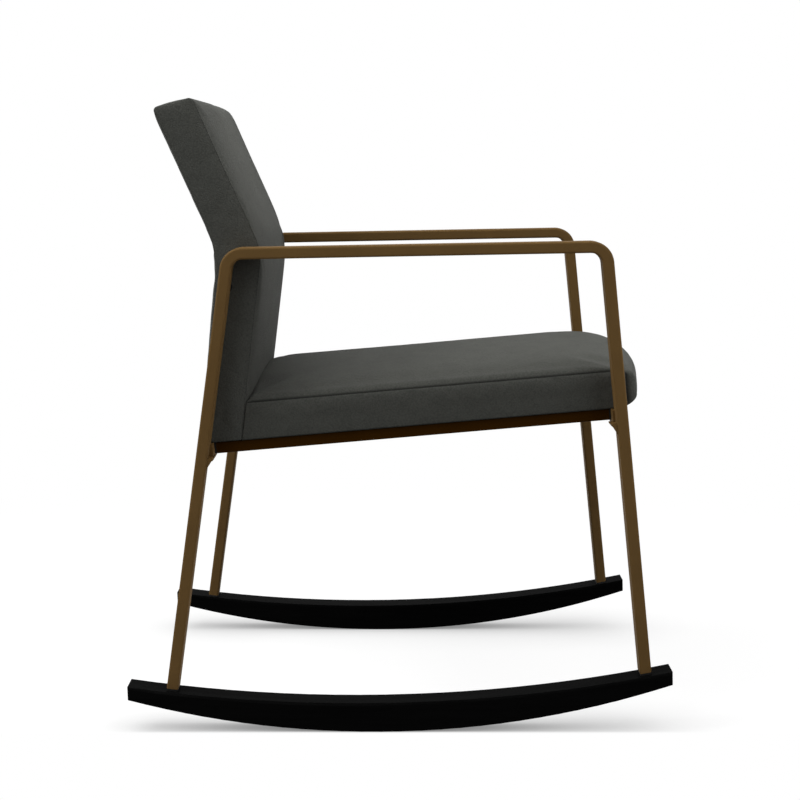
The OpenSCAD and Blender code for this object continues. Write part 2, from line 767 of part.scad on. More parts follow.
// Bent strip of the back between two distances behind its front face
function bend_at(off) = back_knee + off * ([1, 0] + back_out) / (1 + back_out[0]);
function strip(near, far, low, high) =
  let (a = bend_at(near), b = bend_at(far),
       c = back_knee + back_out * near + back_up * high,
       d = back_knee + back_out * far + back_up * high)
  [[far, low], [near, low], each corner_arc([near, low], a, c, back_front_bend_r), c, d,
   each corner_arc(d, b, [far, low], back_front_bend_r)];
module at_stud() {
  translate([0, stud_back[0], stud_back[1]]) children();
}
module at_back_bolts() {
  for (z = [back_bolt_low, back_bolt_high])
    translate([back_bracket_x, panel_off, z]) rotate([-90, 0, 0]) children();
}

// Lower bracket of the back in the seat frame, or with a gap the slot for it
module back_bracket_bar(gap) {
  x0 = back_bracket_x - back_bracket_w / 2 - gap;
  top = bracket_heel + back_rise * back_bracket_h;
  in_t = [cos(back_rel_lean), sin(back_rel_lean)] * (back_bracket_t + gap);
  out = [cos(back_rel_lean), sin(back_rel_lean)] * gap;
  elbow = meet(bracket_heel - in_t, back_rise, [0, rail_h + back_bracket_t + gap], [1, 0]);
  side_solid(x0, x0 + back_bracket_w + 2 * gap)
    polygon([bracket_heel + out, [rear_rail_y - rail_w, rail_h],
             [rear_rail_y - rail_w, rail_h + back_bracket_t + gap], elbow,
             top - in_t + back_rise * gap, top + out + back_rise * gap]);
}

// Sub-parts: runners and feet
module runner_left() { color(runner_black) at_rest() runner(); }
module runner_right() { color(runner_black) at_rest() to_right() runner(); }
module side_frame_left() { color(bronze) at_rest() side_frame(); }
module side_frame_right() { color(bronze) at_rest() to_right() side_frame(); }
module leg_foot_pads() {
  color(plastic_black) at_rest() at_feet() { leg_foot_pad(true); leg_foot_pad(false); }
}
module leg_threaded_blocks() {
  color(steel) at_rest() at_feet() { leg_threaded_block(true); leg_threaded_block(false); }
}
module runner_bolts() {
  color(steel) at_rest() at_feet() { runner_bolt(true); runner_bolt(false); }
}
module runner_bolt_washers() {
  color(steel) at_rest() at_feet() { runner_bolt_washer(true); runner_bolt_washer(false); }
}

// Sub-parts: seat frame
module seat_bracket_front_left() { color(bronze) at_rest() front_bracket(); }
module seat_bracket_front_right() { color(bronze) at_rest() to_right() front_bracket(); }
module seat_bracket_rear_left() { color(bronze) at_rest() rear_bracket(); }
module seat_bracket_rear_right() { color(bronze) at_rest() to_right() rear_bracket(); }
module seat_rail_left() { color(bronze) at_rest() seat_rail(); }
module seat_rail_right() { color(bronze) at_rest() to_right() seat_rail(); }
module seat_cross_rail_front() {
  color(bronze) at_rest() in_seat_frame() cross_rail(front_cross_y);
}
module seat_cross_rail_rear() {
  color(bronze) at_rest() in_seat_frame() difference() {
    cross_rail(rear_cross_y);
    both_sides() rod_z([back_bracket_x, rear_cross_y, -cut_over], m6_hole_r,
                       rail_h + 2 * cut_over);
  }
}
module rail_end_caps() { color(plastic_black) at_rest() at_rail_ends() rail_end_cap(); }
module rail_threaded_blocks() {
  color(steel) at_rest() at_rail_ends() rail_threaded_block();
}
module seat_frame_bolts() { color(steel) at_rest() at_rail_ends() seat_frame_bolt(); }

// Sub-parts: seat
module seat_deck() {
  color(plywood) at_rest() in_seat_frame() difference() {
    translate([0, 0, seat_base_z]) deck_board(0, deck_t);
    both_sides() at_deck_screws() translate([0, 0, foam_base_z]) tee_hole(deck_t);
  }
}
module deck_tee_nuts() {
  color(steel) at_rest() in_seat_frame() both_sides() at_deck_screws()
    translate([0, 0, foam_base_z]) tee_nut();
}
module deck_screws() {
  seat = rail_h - rail_wall;
  color(steel) at_rest() in_seat_frame() both_sides() at_deck_screws()
    translate([0, 0, seat]) m6_screw(foam_base_z - seat - slide_gap);
}
module seat_dust_cover() {
  y0 = front_cross_y + rail_w / 2 + dust_margin;
  y1 = min(rear_cross_y - rail_w / 2 - dust_margin, deck_rear_y);
  half = rail_in_x - dust_margin;
  color(plastic_black) at_rest() in_seat_frame()
    translate([-half, y0, seat_base_z - dust_t]) cube([2 * half, y1 - y0, dust_t]);
}
module seat_foam() {
  color(foam_cream) at_rest() in_seat_frame() seat_foam_solid(0);
}
module seat_cover() {
  c = seat_corners;
  line = rounded(c, seat_radii);
  mid_line = [
    each corner_arc(c[3], c[0], c[1], seat_rear_r),
    each eased_corner(c[0], c[1], c[2], seat_under_len, seat_under_rise),
    each eased_corner(c[1], c[2], c[3], seat_nose_drop, seat_nose_len),
    each corner_arc(c[2], c[3], c[0], seat_rear_r)];
  pts = stepped(line, line, seat_step);
  mid = stepped(mid_line, line, seat_step);
  inner = stepped(rounded(inset_by(c, seat_inset), seat_radii), line, seat_step);
  ns = normals(mid);
  weights = [for (i = [0:len(mid) - 1]) seat_weight(mid[i], ns[i])];
  color(upholstery) at_rest() in_seat_frame() difference() {
    cushion(pts, mid, inner, weights, seat_half_w, seat_roll, seat_roll_w, seat_crown,
            seat_bulge);
    seat_foam_solid(slide_gap);
    translate([0, 0, seat_base_z - cut_over]) deck_board(slide_gap, deck_t + 2 * cut_over);
  }
}

// Sub-parts: back
module back_panel() {
  color(plywood) at_rest() in_back_frame() difference() {
    side_solid(-panel_half_w, panel_half_w)
      polygon(strip(panel_off, panel_off + panel_t, panel_margin, back_high_len - panel_margin));
    both_sides() at_back_bolts() translate([0, 0, panel_t]) tee_hole(panel_t);
    both_sides() at_stud()
      rod_x([panel_half_w - stud_depth, 0, 0], stud_r + thread_gap, stud_depth + cut_over);
  }
}
module back_foam() {
  color(foam_cream) at_rest() difference() {
    in_back_frame() side_solid(-panel_half_w, panel_half_w)
      polygon(strip(back_skin, panel_off - slide_gap, panel_margin,
                    back_high_len - panel_margin));
    in_seat_frame() both_sides() back_bracket_bar(slide_gap);
    in_back_frame() both_sides() at_back_bolts()
      rod_z([0, 0, -back_bracket_t - m6_head_h - slide_gap], m6_head_r + slide_gap,
            m6_head_h + back_bracket_t);
  }
}
module back_cover() {
  half = panel_half_w + plate_t + slide_gap;
  line = rounded(back_corners, back_radii);
  pts = stepped(line, line, back_step);
  inner = stepped(rounded(inset_by(back_corners, back_inset), back_radii), line, back_step);
  ns = normals(pts);
  weights = [for (i = [0:len(pts) - 1]) back_weight(pts[i], ns[i])];
  color(upholstery) at_rest() difference() {
    in_back_frame()
      cushion(pts, pts, inner, weights, back_half_w, 0, back_step, back_crown, back_bulge);
    in_back_frame() side_solid(-half, half)
      polygon(strip(back_skin - slide_gap, panel_off + panel_t + slide_gap,
                    panel_margin - slide_gap, back_high_len - panel_margin + slide_gap));
    in_seat_frame() both_sides() back_bracket_bar(slide_gap);
    in_back_frame() both_sides() at_stud()
      rod_x([panel_half_w, 0, 0], spacer_r + slide_gap, back_half_w);
  }
}
module back_side_plates() {
  color(steel) at_rest() in_back_frame() both_sides() difference() {
    translate([panel_half_w, panel_off + panel_t / 2, stud_back[1]]) rotate([90, 0, 90])
      linear_extrude(plate_t) rounded_rect(panel_t, plate_h, plate_edge_r);
    at_stud() rod_x([panel_half_w - cut_over, 0, 0], stud_r + thread_gap,
                    plate_t + 2 * cut_over);
  }
}
module back_spacers() {
  color(plastic_black) at_rest() in_back_frame() both_sides() at_stud() difference() {
    rod_x([panel_half_w + plate_t, 0, 0], spacer_r, tube_in_x - panel_half_w - plate_t);
    rod_x([panel_half_w, 0, 0], stud_r + thread_gap, tube_in_x);
  }
}
module back_studs() {
  tail = panel_half_w - stud_depth + slide_gap;
  neck = tube_in_x + tube_wall + slide_gap;
  color(steel) at_rest() in_back_frame() both_sides() at_stud() {
    rod_x([tail, 0, 0], stud_r, neck - tail);
    rod_x([neck, 0, 0], stud_head_r, stud_head_h);
  }
}
module back_bracket() {
  difference() {
    in_seat_frame() back_bracket_bar(0);
    in_back_frame() at_back_bolts() rod_z([0, 0, -panel_t], m6_hole_r, 2 * panel_t);
    in_seat_frame() rod_z([back_bracket_x, rear_cross_y, 0], m6_r + thread_gap, 2 * rail_h);
  }
}
module back_bracket_left() { color(bronze) at_rest() back_bracket(); }
module back_bracket_right() { color(bronze) at_rest() to_right() back_bracket(); }
module back_bracket_screws() {
  color(steel) at_rest() in_seat_frame() both_sides()
    translate([back_bracket_x, rear_cross_y, 0]) m6_screw(rail_h + back_bracket_t);
}
module back_bolts() {
  color(steel) at_rest() in_back_frame() both_sides() at_back_bolts()
    translate([0, 0, -back_bracket_t]) m6_screw(back_bracket_t + panel_t - slide_gap);
}
module back_tee_nuts() {
  color(steel) at_rest() in_back_frame() both_sides() at_back_bolts()
    translate([0, 0, panel_t]) tee_nut();
}

side_frame_right();
side_frame_left();
runner_right();
runner_left();
leg_foot_pads();
leg_threaded_blocks();
runner_bolts();
runner_bolt_washers();
seat_bracket_front_right();
seat_bracket_front_left();
seat_bracket_rear_right();
seat_bracket_rear_left();
seat_rail_right();
seat_rail_left();
seat_cross_rail_front();
seat_cross_rail_rear();
rail_end_caps();
rail_threaded_blocks();
seat_frame_bolts();
seat_deck();
deck_tee_nuts();
deck_screws();
seat_foam();
seat_cover();
seat_dust_cover();
back_panel();
back_foam();
back_cover();
back_side_plates();
back_spacers();
back_studs();
back_bracket_right();
back_bracket_left();
back_bracket_screws();
back_bolts();
back_tee_nuts();
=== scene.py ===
import json
import math

import bmesh
import bpy
import numpy as np
from mathutils import Matrix, Vector


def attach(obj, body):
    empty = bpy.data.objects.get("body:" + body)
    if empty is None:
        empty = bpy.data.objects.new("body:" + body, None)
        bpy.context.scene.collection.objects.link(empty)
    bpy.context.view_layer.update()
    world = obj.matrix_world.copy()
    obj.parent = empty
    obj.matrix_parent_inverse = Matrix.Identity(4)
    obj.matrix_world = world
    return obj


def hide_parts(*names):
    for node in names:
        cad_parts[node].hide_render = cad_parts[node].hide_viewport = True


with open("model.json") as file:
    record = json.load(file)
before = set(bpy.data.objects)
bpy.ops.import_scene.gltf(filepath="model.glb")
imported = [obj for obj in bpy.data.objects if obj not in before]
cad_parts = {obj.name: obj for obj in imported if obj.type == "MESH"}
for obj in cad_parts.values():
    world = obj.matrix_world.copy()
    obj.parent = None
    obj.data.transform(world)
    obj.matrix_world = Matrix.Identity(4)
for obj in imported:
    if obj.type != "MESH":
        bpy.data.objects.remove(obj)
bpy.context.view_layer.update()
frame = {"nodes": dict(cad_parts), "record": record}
print("frame loaded:", len(frame["nodes"]), "solids")

mm = 0.001
tiny = 1e-9  # keeps a length off zero
sameSpot = 1e-6  # two lengths closer than this are the same
paperWhite = (1, 1, 1, 1)

# How the chair stands, the same as in the solids (metres and degrees)
stance = {"restTilt": 1.65, "rollRadius": 1.3, "runnerLength": 0.75, "runnerEndHeight": 0.0185,
          "railHeight": 0.4012, "seatAngle": 3.3, "railThickness": 0.016,
          "backLean": 8.4, "frontKnee": -0.30517}


def restPlace():
    s = stance
    t = math.radians(s["restTilt"])
    half = s["runnerLength"] / 2
    sagitta = s["rollRadius"] - math.sqrt(s["rollRadius"] ** 2 - half ** 2)
    shift = (s["rollRadius"] - sagitta - s["runnerEndHeight"] / 2) * math.sin(t)
    return (Matrix.Translation((0, shift, s["rollRadius"])) @ Matrix.Rotation(-t, 4, "X")
            @ Matrix.Translation((0, 0, -s["rollRadius"])))


def seatPlace():
    return (restPlace() @ Matrix.Translation((0, 0, stance["railHeight"]))
            @ Matrix.Rotation(-math.radians(stance["seatAngle"]), 4, "X"))


def backLeanFromSeat():
    return math.radians(stance["backLean"] + stance["seatAngle"])


def backPlace():
    foot = backShape["foot"]
    return (seatPlace() @ Matrix.Translation((0, foot[0], foot[1]))
            @ Matrix.Rotation(backLeanFromSeat(), 4, "X"))


def newObject(name, data):
    obj = bpy.data.objects.new(name, data)
    bpy.context.scene.collection.objects.link(obj)
    return obj


# Cushion outlines, seen from the side as (y, z)
def unit(v):
    return v / np.linalg.norm(v)


def meet(p, u, q, v):
    p, u, q, v = (np.array(a, float) for a in (p, u, q, v))
    d = q - p
    return p + u * (d[0] * v[1] - d[1] * v[0]) / (u[0] * v[1] - u[1] * v[0])


def edgeNormal(a, b):
    d = unit(b - a)
    return np.array([-d[1], d[0]])


def cornerArc(a, b, c, radius, steps):
    u, v = unit(a - b), unit(c - b)
    half = math.acos(float(np.clip(u @ v, -1, 1))) / 2
    middle = b + unit(u + v) * radius / math.sin(half)
    p, q = b + u * radius / math.tan(half) - middle, b + v * radius / math.tan(half) - middle
    start = math.atan2(p[1], p[0])
    turn = math.atan2(p[0] * q[1] - p[1] * q[0], float(p @ q))
    return [middle + radius * np.array([math.cos(start + turn * i / steps),
                                        math.sin(start + turn * i / steps)])
            for i in range(steps + 1)]


def insetCorners(corners, gap):
    n = len(corners)
    out = []
    for i in range(n):
        a, b, c = corners[i - 1], corners[i], corners[(i + 1) % n]
        out.append(meet(b - edgeNormal(a, b) * gap, b - a, b - edgeNormal(b, c) * gap, c - b))
    return out


leastRadius = 0.0006


def roundedOutline(corners, radii, arcSteps, gap=0.0):
    n = len(corners)
    pts = insetCorners(corners, gap)
    out = []
    for i in range(n):
        a, b, c = pts[i - 1], pts[i], pts[(i + 1) % n]
        cross = (b - a)[0] * (c - b)[1] - (b - a)[1] * (c - b)[0]
        r = radii[i] - gap if cross < 0 else radii[i] + gap  # clockwise: a right turn is a bulge
        out.append(cornerArc(a, b, c, max(r, leastRadius), arcSteps[i]))
    return out


# A corner turned in a quarter of an ellipse, with a reach of its own along each edge
def easedCorner(a, b, c, reachA, reachC, steps):
    u, v = unit(a - b) * reachA, unit(c - b) * reachC
    turns = [math.pi / 2 * i / steps for i in range(steps + 1)]
    return [b + u * (1 - math.sin(t)) + v * (1 - math.cos(t)) for t in turns]


def steppedOutline(arcs, likeArcs, step):
    pts = []
    n = len(arcs)
    for i in range(n):
        pts += arcs[i][:-1]
        a, b = arcs[i][-1], arcs[(i + 1) % n][0]
        la, lb = likeArcs[i][-1], likeArcs[(i + 1) % n][0]
        k = max(1, math.ceil(np.linalg.norm(lb - la) / step))
        pts += [a + (b - a) * j / k for j in range(k)]
    return np.array(pts)


def outlineNormals(pts):
    before, after = np.roll(pts, 1, axis=0), np.roll(pts, -1, axis=0)
    out = []
    for a, b, c in zip(before, pts, after):
        out.append(unit(edgeNormal(a, b) + edgeNormal(b, c)))
    return np.array(out)


def stripTriangles(pts):
    low, high, out = 0, len(pts) - 1, []
    while high - low > 1:
        if np.linalg.norm(pts[low + 1] - pts[high]) < np.linalg.norm(pts[high - 1] - pts[low]):
            out.append((low, low + 1, high))
            low += 1
        else:
            out.append((low, high - 1, high))
            high -= 1
    return out


def rolledShare(x, half, rollWidth):
    v = 1 - min(1, (half - abs(x)) / rollWidth)
    return math.sqrt(max(0.0, 1 - v * v))


# A seam sinks by sinkShare of its depth in each direction. The wrap panel stays pinned where its
# swell has less weight than heldBelow
sewing = {"sinkShare": 0.7, "heldBelow": 0.02}


# One closed cushion: a wrap panel over its outline, and two boxing panels drawn in at the seams.
# The wrap panel turns from the side outline into the middle outline across its roll
def buildCushion(name, shape, corners, weights, middleArcs=None):
    radii, arcSteps = shape["radii"], shape["arcSteps"]
    line = roundedOutline(corners, radii, arcSteps)
    pts = steppedOutline(line, line, shape["step"])
    middle = steppedOutline(middleArcs, line, shape["step"]) if middleArcs else pts
    ns = outlineNormals(middle)
    w = weights(middle, ns)
    half = shape["halfWidth"]
    fromSeam = shape["fromSeam"]
    inner = np.linspace(half - fromSeam[-1], 0, shape["innerStations"])[1:]
    xs = [half - d for d in fromSeam] + list(inner)
    xs = [-x for x in xs] + [x for x in reversed(xs[:-1])]
    rings = []
    for d in reversed(shape["boxing"]):
        arcs = roundedOutline(corners, radii, arcSteps, d)
        ring = steppedOutline(arcs, line, shape["step"])
        bulge = shape["bulge"] * math.sin(math.pi / 2 * min(1, d / shape["boxing"][-1]))
        rings.append([(-half - bulge, p[0], p[1]) for p in ring])
    sink = shape["seamSink"] * sewing["sinkShare"]
    for x in xs:
        g = rolledShare(x, half, shape["rollWidth"])
        rise = shape["roll"] * g + shape["crown"] * (1 - (x / half) ** 2)
        drop = sink if abs(abs(x) - half) < sameSpot else 0.0
        side = -math.copysign(drop, x)
        ring = pts * (1 - g) + middle * g + ns * (w * rise - drop)[:, None]
        rings.append([(x + side, p[0], p[1]) for p in ring])
    for ring in reversed(rings[:len(shape["boxing"])]):
        rings.append([(-p[0], p[1], p[2]) for p in ring])
    n, m = len(pts), len(rings)
    faces = []
    for k in range(m - 1):
        for i in range(n):
            j = (i + 1) % n
            faces.append((k * n + i, (k + 1) * n + i, (k + 1) * n + j, k * n + j))
    cap = stripTriangles(np.array(rings[0])[:, 1:])
    faces += [(a, b, c) for a, b, c in cap]
    faces += [((m - 1) * n + c, (m - 1) * n + b, (m - 1) * n + a) for a, b, c in cap]
    mesh = bpy.data.meshes.new(name)
    mesh.from_pydata([p for ring in rings for p in ring], [], faces)
    bm = bmesh.new()
    bm.from_mesh(mesh)
    bmesh.ops.recalc_face_normals(bm, faces=bm.faces)
    bm.to_mesh(mesh)
    bm.free()
    piece = newObject(name, mesh)
    boxed = len(shape["boxing"])
    seamRings = (boxed, m - 1 - boxed)
    seams = [[Vector(rings[k][i]) for i in range(n)] for k in seamRings]
    pinned = [k * n + i for k in seamRings for i in range(n)]
    pinned += [k * n + i for k in range(m) for i in range(n) if w[i] < sewing["heldBelow"]]
    # Painted shadow: each seam ring gets a weight that darkens its colour towards near black,
    # standing in for the shade in the seam groove
    depth = mesh.attributes.new("seamShadowMask", "FLOAT", "POINT")
    for k in seamRings:
        for i in range(n):
            depth.data[k * n + i].value = shape["seamShadowWeight"]
    return piece, seams, pinned


# Cloth under pressure between the sewn seams, so that each panel swells and puckers like foam
def puffPanels(piece, pinned, cloth):
    start = np.array([v.co[:] for v in piece.data.vertices])
    group = piece.vertex_groups.new(name="sewn")
    group.add(pinned, 1.0, "REPLACE")
    mod = piece.modifiers.new("cloth", "CLOTH")
    s = mod.settings
    s.quality = cloth["quality"]
    s.mass = cloth["mass"]
    s.tension_stiffness = s.compression_stiffness = cloth["stiffness"]
    s.shear_stiffness = cloth["stiffness"] / 2
    s.bending_stiffness = cloth["bending"]
    s.use_pressure = True
    s.uniform_pressure_force = cloth["pressure"]
    s.vertex_group_mass = group.name
    s.shrink_min = cloth["shrink"]
    s.effector_weights.gravity = 0
    mod.collision_settings.use_collision = False
    mod.collision_settings.use_self_collision = False
    scene = bpy.context.scene
    mod.point_cache.frame_start, mod.point_cache.frame_end = 1, cloth["frames"]
    for f in range(1, cloth["frames"] + 1):
        scene.frame_set(f)
    shaped = piece.evaluated_get(bpy.context.evaluated_depsgraph_get())
    end = np.array([v.co[:] for v in shaped.data.vertices])
    move = end - start
    length = np.linalg.norm(move, axis=1, keepdims=True)
    cap = cloth["cap"]
    move *= np.where(length > tiny, cap * np.tanh(length / cap) / np.maximum(length, tiny), 0)
    piece.modifiers.remove(mod)
    piece.vertex_groups.clear()
    for v, co in zip(piece.data.vertices, start + move):
        v.co = co
    scene.frame_set(1)
    print(piece.name, "swelled at most", round(float(length.max()) / mm, 1), "mm before the cap")


def subdivideOnce(piece):
    mod = piece.modifiers.new("subdivide", "SUBSURF")
    mod.levels = mod.render_levels = 1
    bakeModifiers(piece)


# Applies what is on a piece and leaves a plain mesh
def bakeModifiers(piece):
    shaped = piece.evaluated_get(bpy.context.evaluated_depsgraph_get())
    mesh = bpy.data.meshes.new_from_object(shaped)
    piece.modifiers.clear()
    old = piece.data
    piece.data = mesh
    mesh.name = piece.name
    bpy.data.meshes.remove(old)


def smoothShade(piece):
    for poly in piece.data.polygons:
        poly.use_smooth = True


seatShape = {"halfWidth": 0.2530, "sideHeight": 0.0520, "nose": 0.020, "gapToBack": 0.0004,
             "noseLength": 0.068, "noseDrop": 0.0125, "underLength": 0.022, "underRise": 0.012,
             "roll": 0.0090, "rollWidth": 0.0088, "rearRamp": 0.007, "crown": 0.0152,
             "frontShare": 1.56, "frontRamp": 0.014, "bulge": 0.0014, "step": 0.0065,
             # the seam weight on the next line sets how strongly the painted shadow darkens the
             # seam rings
             "seamSink": 0.0014, "seamShadowWeight": 1.0,
             "fromSeam": [0, 0.0011, 0.0026, 0.0046, 0.0072, 0.0105, 0.0150, 0.0205],
             "innerStations": 36, "boxing": [0.0011, 0.0028, 0.006, 0.011, 0.017, 0.0235],
             "radii": [0.0012, 0.004, 0.005, 0.003], "arcSteps": [3, 8, 12, 3],
             "deckInset": 0.017, "deckFront": 0.030, "railFront": 0.058, "deckRear": 0.012,
             "hollow": 0.003, "tuck": 0.0008, "flatWithin": 0.0001}
seatCloth = {"pressure": 4.0, "stiffness": 12.0, "bending": 0.6, "shrink": -0.004, "mass": 0.3,
             "quality": 6, "frames": 20, "cap": 0.0025}

backShape = {"foot": (0.20805, 0.0165), "halfWidth": 0.2535, "lowLength": 0.26181,
             "highLength": 0.226, "bend": 30.7, "footThickness": 0.0535, "lowThickness": 0.060,
             "highThickness": 0.0555,
             "topLag": 8.6, "footRamp": 0.042, "roll": 0.0, "rollWidth": 0.02, "crown": 0.0055,
             "bulge": 0.0011, "rearShare": 0.4, "topShare": 0.5, "step": 0.0065,
             # the seam weight on the next line sets how strongly the painted shadow darkens the
             # seam rings
             "seamSink": 0.0012, "seamShadowWeight": 0.12,
             "fromSeam": [0, 0.0011, 0.0028, 0.0055, 0.009, 0.0135, 0.019, 0.025],
             "innerStations": 36, "boxing": [0.0011, 0.0028, 0.006, 0.011, 0.018, 0.0245],
             "radii": [0.005, 0.0016, 0.075, 0.008, 0.0055, 0.150],
             "arcSteps": [3, 3, 6, 4, 4, 12]}
backCloth = {"pressure": 4.0, "stiffness": 12.0, "bending": 0.6, "shrink": -0.003, "mass": 0.3,
             "quality": 6, "frames": 20, "cap": 0.004}


def backFrontAt(z):
    foot = backShape["foot"]
    return foot[0] - (z - foot[1]) * math.tan(backLeanFromSeat())


def makeSeatCushion():
    s = seatShape
    base = stance["railThickness"]
    seam = base + s["sideHeight"]
    gap = s["gapToBack"] / math.cos(backLeanFromSeat())
    front = stance["frontKnee"] - s["nose"]

    def rearAt(z):
        return backFrontAt(z) - gap

    corners = [np.array(p) for p in ((rearAt(base), base), (front, base), (front, seam),
                                     (rearAt(seam), seam))]
    foot, under, tip, rear = corners
    radii, steps = s["radii"], s["arcSteps"]
    middleArcs = [
        cornerArc(rear, foot, under, radii[0], steps[0]),
        easedCorner(foot, under, tip, s["underLength"], s["underRise"], steps[1]),
        easedCorner(under, tip, rear, s["noseDrop"], s["noseLength"], steps[2]),
        cornerArc(tip, rear, foot, radii[3], steps[3])]

    def weights(pts, ns):
        top = np.maximum(0, ns[:, 1]) ** 2
        fromRear = np.array([rearAt(p[1]) for p in pts]) - pts[:, 0]
        top *= np.clip(fromRear / s["rearRamp"], 0, 1)
        nose = s["frontShare"] * np.maximum(0, -ns[:, 0]) ** 2
        nose *= np.where(pts[:, 0] < 0, np.clip((pts[:, 1] - base) / s["frontRamp"], 0, 1), 0)
        return top + nose

    made = buildCushion("seatCushion", s, corners, weights, middleArcs)
    # underneath, the cover goes on to the front cross rail and stops at the deck's other edges
    for v in made[0].data.vertices:
        overDeck = (abs(v.co.x) < s["halfWidth"] - s["deckInset"]
                    and front + s["deckFront"] < v.co.y < rearAt(base) - s["deckRear"])
        if overDeck and abs(v.co.z - base) < s["flatWithin"]:
            v.co.z += s["hollow"] if v.co.y > front + s["railFront"] else -s["tuck"]
    return made + (seatPlace(),)


def makeBackCushion():
    s = backShape
    bend = math.radians(s["bend"])
    up = np.array([math.sin(bend), math.cos(bend)])
    out = np.array([math.cos(bend), -math.sin(bend)])
    topTurn = math.radians(s["bend"] - s["topLag"])
    topRun = np.array([math.cos(topTurn), -math.sin(topTurn)])
    knee = np.array([0, s["lowLength"]])
    tip = knee + up * s["highLength"]
    highRear = knee + out * s["highThickness"]
    lowRear = np.array([s["lowThickness"], 0])
    drop = -s["footThickness"] * math.tan(backLeanFromSeat())
    corners = [np.array([s["footThickness"], drop]), np.zeros(2), knee, tip,
               meet(tip, topRun, highRear, up), meet(lowRear, (0, 1), highRear, up)]

    def weights(pts, ns):
        frontFacing = np.maximum(0, np.maximum(-ns[:, 0], -(ns @ out))) ** 2
        topFacing = np.maximum(0, ns @ edgeNormal(np.zeros(2), topRun)) ** 2
        rearFacing = np.maximum(0, np.maximum(ns[:, 0], ns @ out)) ** 2
        ramp = np.clip(pts[:, 1] / s["footRamp"], 0, 1)
        return ramp * (frontFacing + s["topShare"] * topFacing + s["rearShare"] * rearFacing)

    return buildCushion("backCushion", s, corners, weights) + (backPlace(),)


def finishCushion(made, cloth):
    piece, seams, pinned, place = made
    puffPanels(piece, pinned, cloth)
    subdivideOnce(piece)
    piece.data.transform(place)
    smoothShade(piece)
    return piece, [[place @ p for p in seam] for seam in seams]


seatCushion, seatSeams = finishCushion(makeSeatCushion(), seatCloth)
print("seat cushion made:", len(seatCushion.data.polygons), "faces")
backCushion, backSeams = finishCushion(makeBackCushion(), backCloth)
print("back cushion made:", len(backCushion.data.polygons), "faces")


# Shader node groups
def newGroup(name, inputs, outputs):
    group = bpy.data.node_groups.new(name, "ShaderNodeTree")
    for label, kind, value in inputs:
        socket = group.interface.new_socket(name=label, in_out="INPUT", socket_type=kind)
        socket.default_value = value
    for label, kind in outputs:
        group.interface.new_socket(name=label, in_out="OUTPUT", socket_type=kind)
    start = group.nodes.new("NodeGroupInput")
    end = group.nodes.new("NodeGroupOutput")
    return group, start, end


def addNode(tree, kind, values=None, **settings):
    node = tree.nodes.new(kind)
    for key, value in settings.items():
        setattr(node, key, value)
    for key, value in (values or {}).items():
        node.inputs[key].default_value = value
    return node


# Feeds a socket from another node, or sets it
def feed(tree, socket, value):
    if hasattr(value, "links"):
        tree.links.new(value, socket)
    else:
        socket.default_value = value


def mathNode(tree, operation, a, b):
    node = addNode(tree, "ShaderNodeMath", operation=operation)
    feed(tree, node.inputs[0], a)
    feed(tree, node.inputs[1], b)
    return node.outputs[0]


def blendOf(tree, a, shareA, b, shareB):
    return mathNode(tree, "ADD", mathNode(tree, "MULTIPLY", a, shareA),
                    mathNode(tree, "MULTIPLY", b, shareB))


def mixColour(tree, factor, a, b):
    node = addNode(tree, "ShaderNodeMix", data_type="RGBA")
    for i, value in ((0, factor), (6, a), (7, b)):  # the sockets of a colour mix
        feed(tree, node.inputs[i], value)
    return node.outputs[2]


# Fine pebble grain with soft mottling: a height and a shade
pebble = {"warp": 0.0012, "random": 0.9, "smooth": 0.35, "fineRatio": 2.7, "fineRough": 0.6,
          "mottleRough": 0.55, "domeHeight": 0.75, "fineHeight": 0.25, "domeShade": 0.6,
          "mottleShade": 0.4}


def makePebbleGroup():
    group, start, end = newGroup("pebbleGrain", [
        ("Pebble Size", "NodeSocketFloat", 0.0021), ("Mottle Size", "NodeSocketFloat", 0.035)],
        [("Height", "NodeSocketFloat"), ("Shade", "NodeSocketFloat")])
    links = group.links
    coords = addNode(group, "ShaderNodeTexCoord")
    pebbleScale = mathNode(group, "DIVIDE", 1.0, start.outputs["Pebble Size"])
    mottleScale = mathNode(group, "DIVIDE", 1.0, start.outputs["Mottle Size"])
    warp = addNode(group, "ShaderNodeTexNoise", {"Detail": 2.0})
    links.new(coords.outputs["Object"], warp.inputs["Vector"])
    links.new(pebbleScale, warp.inputs["Scale"])
    bend = addNode(group, "ShaderNodeVectorMath", operation="MULTIPLY_ADD")
    bend.inputs[1].default_value = (pebble["warp"],) * 3
    links.new(warp.outputs["Color"], bend.inputs[0])
    links.new(coords.outputs["Object"], bend.inputs[2])
    cells = addNode(group, "ShaderNodeTexVoronoi", {"Randomness": pebble["random"],
                                                    "Smoothness": pebble["smooth"]},
                    feature="SMOOTH_F1")
    links.new(bend.outputs[0], cells.inputs["Vector"])
    links.new(pebbleScale, cells.inputs["Scale"])
    fine = addNode(group, "ShaderNodeTexNoise", {"Detail": 3.0,
                                                 "Roughness": pebble["fineRough"]})
    links.new(coords.outputs["Object"], fine.inputs["Vector"])
    links.new(mathNode(group, "MULTIPLY", pebbleScale, pebble["fineRatio"]),
              fine.inputs["Scale"])
    mottle = addNode(group, "ShaderNodeTexNoise", {"Detail": 4.0,
                                                   "Roughness": pebble["mottleRough"]})
    links.new(coords.outputs["Object"], mottle.inputs["Vector"])
    links.new(mottleScale, mottle.inputs["Scale"])
    dome = mathNode(group, "SUBTRACT", 1.0, cells.outputs["Distance"])
    height = blendOf(group, dome, pebble["domeHeight"], fine.outputs["Fac"],
                     pebble["fineHeight"])
    links.new(height, end.inputs["Height"])
    shade = blendOf(group, dome, pebble["domeShade"], mottle.outputs["Fac"],
                    pebble["mottleShade"])
    links.new(shade, end.inputs["Shade"])
    return group


# Fine unevenness of a sprayed or moulded finish: a height and a shade
speckle = {"rough": 0.5, "fineShade": 0.4, "cloudShade": 0.6}


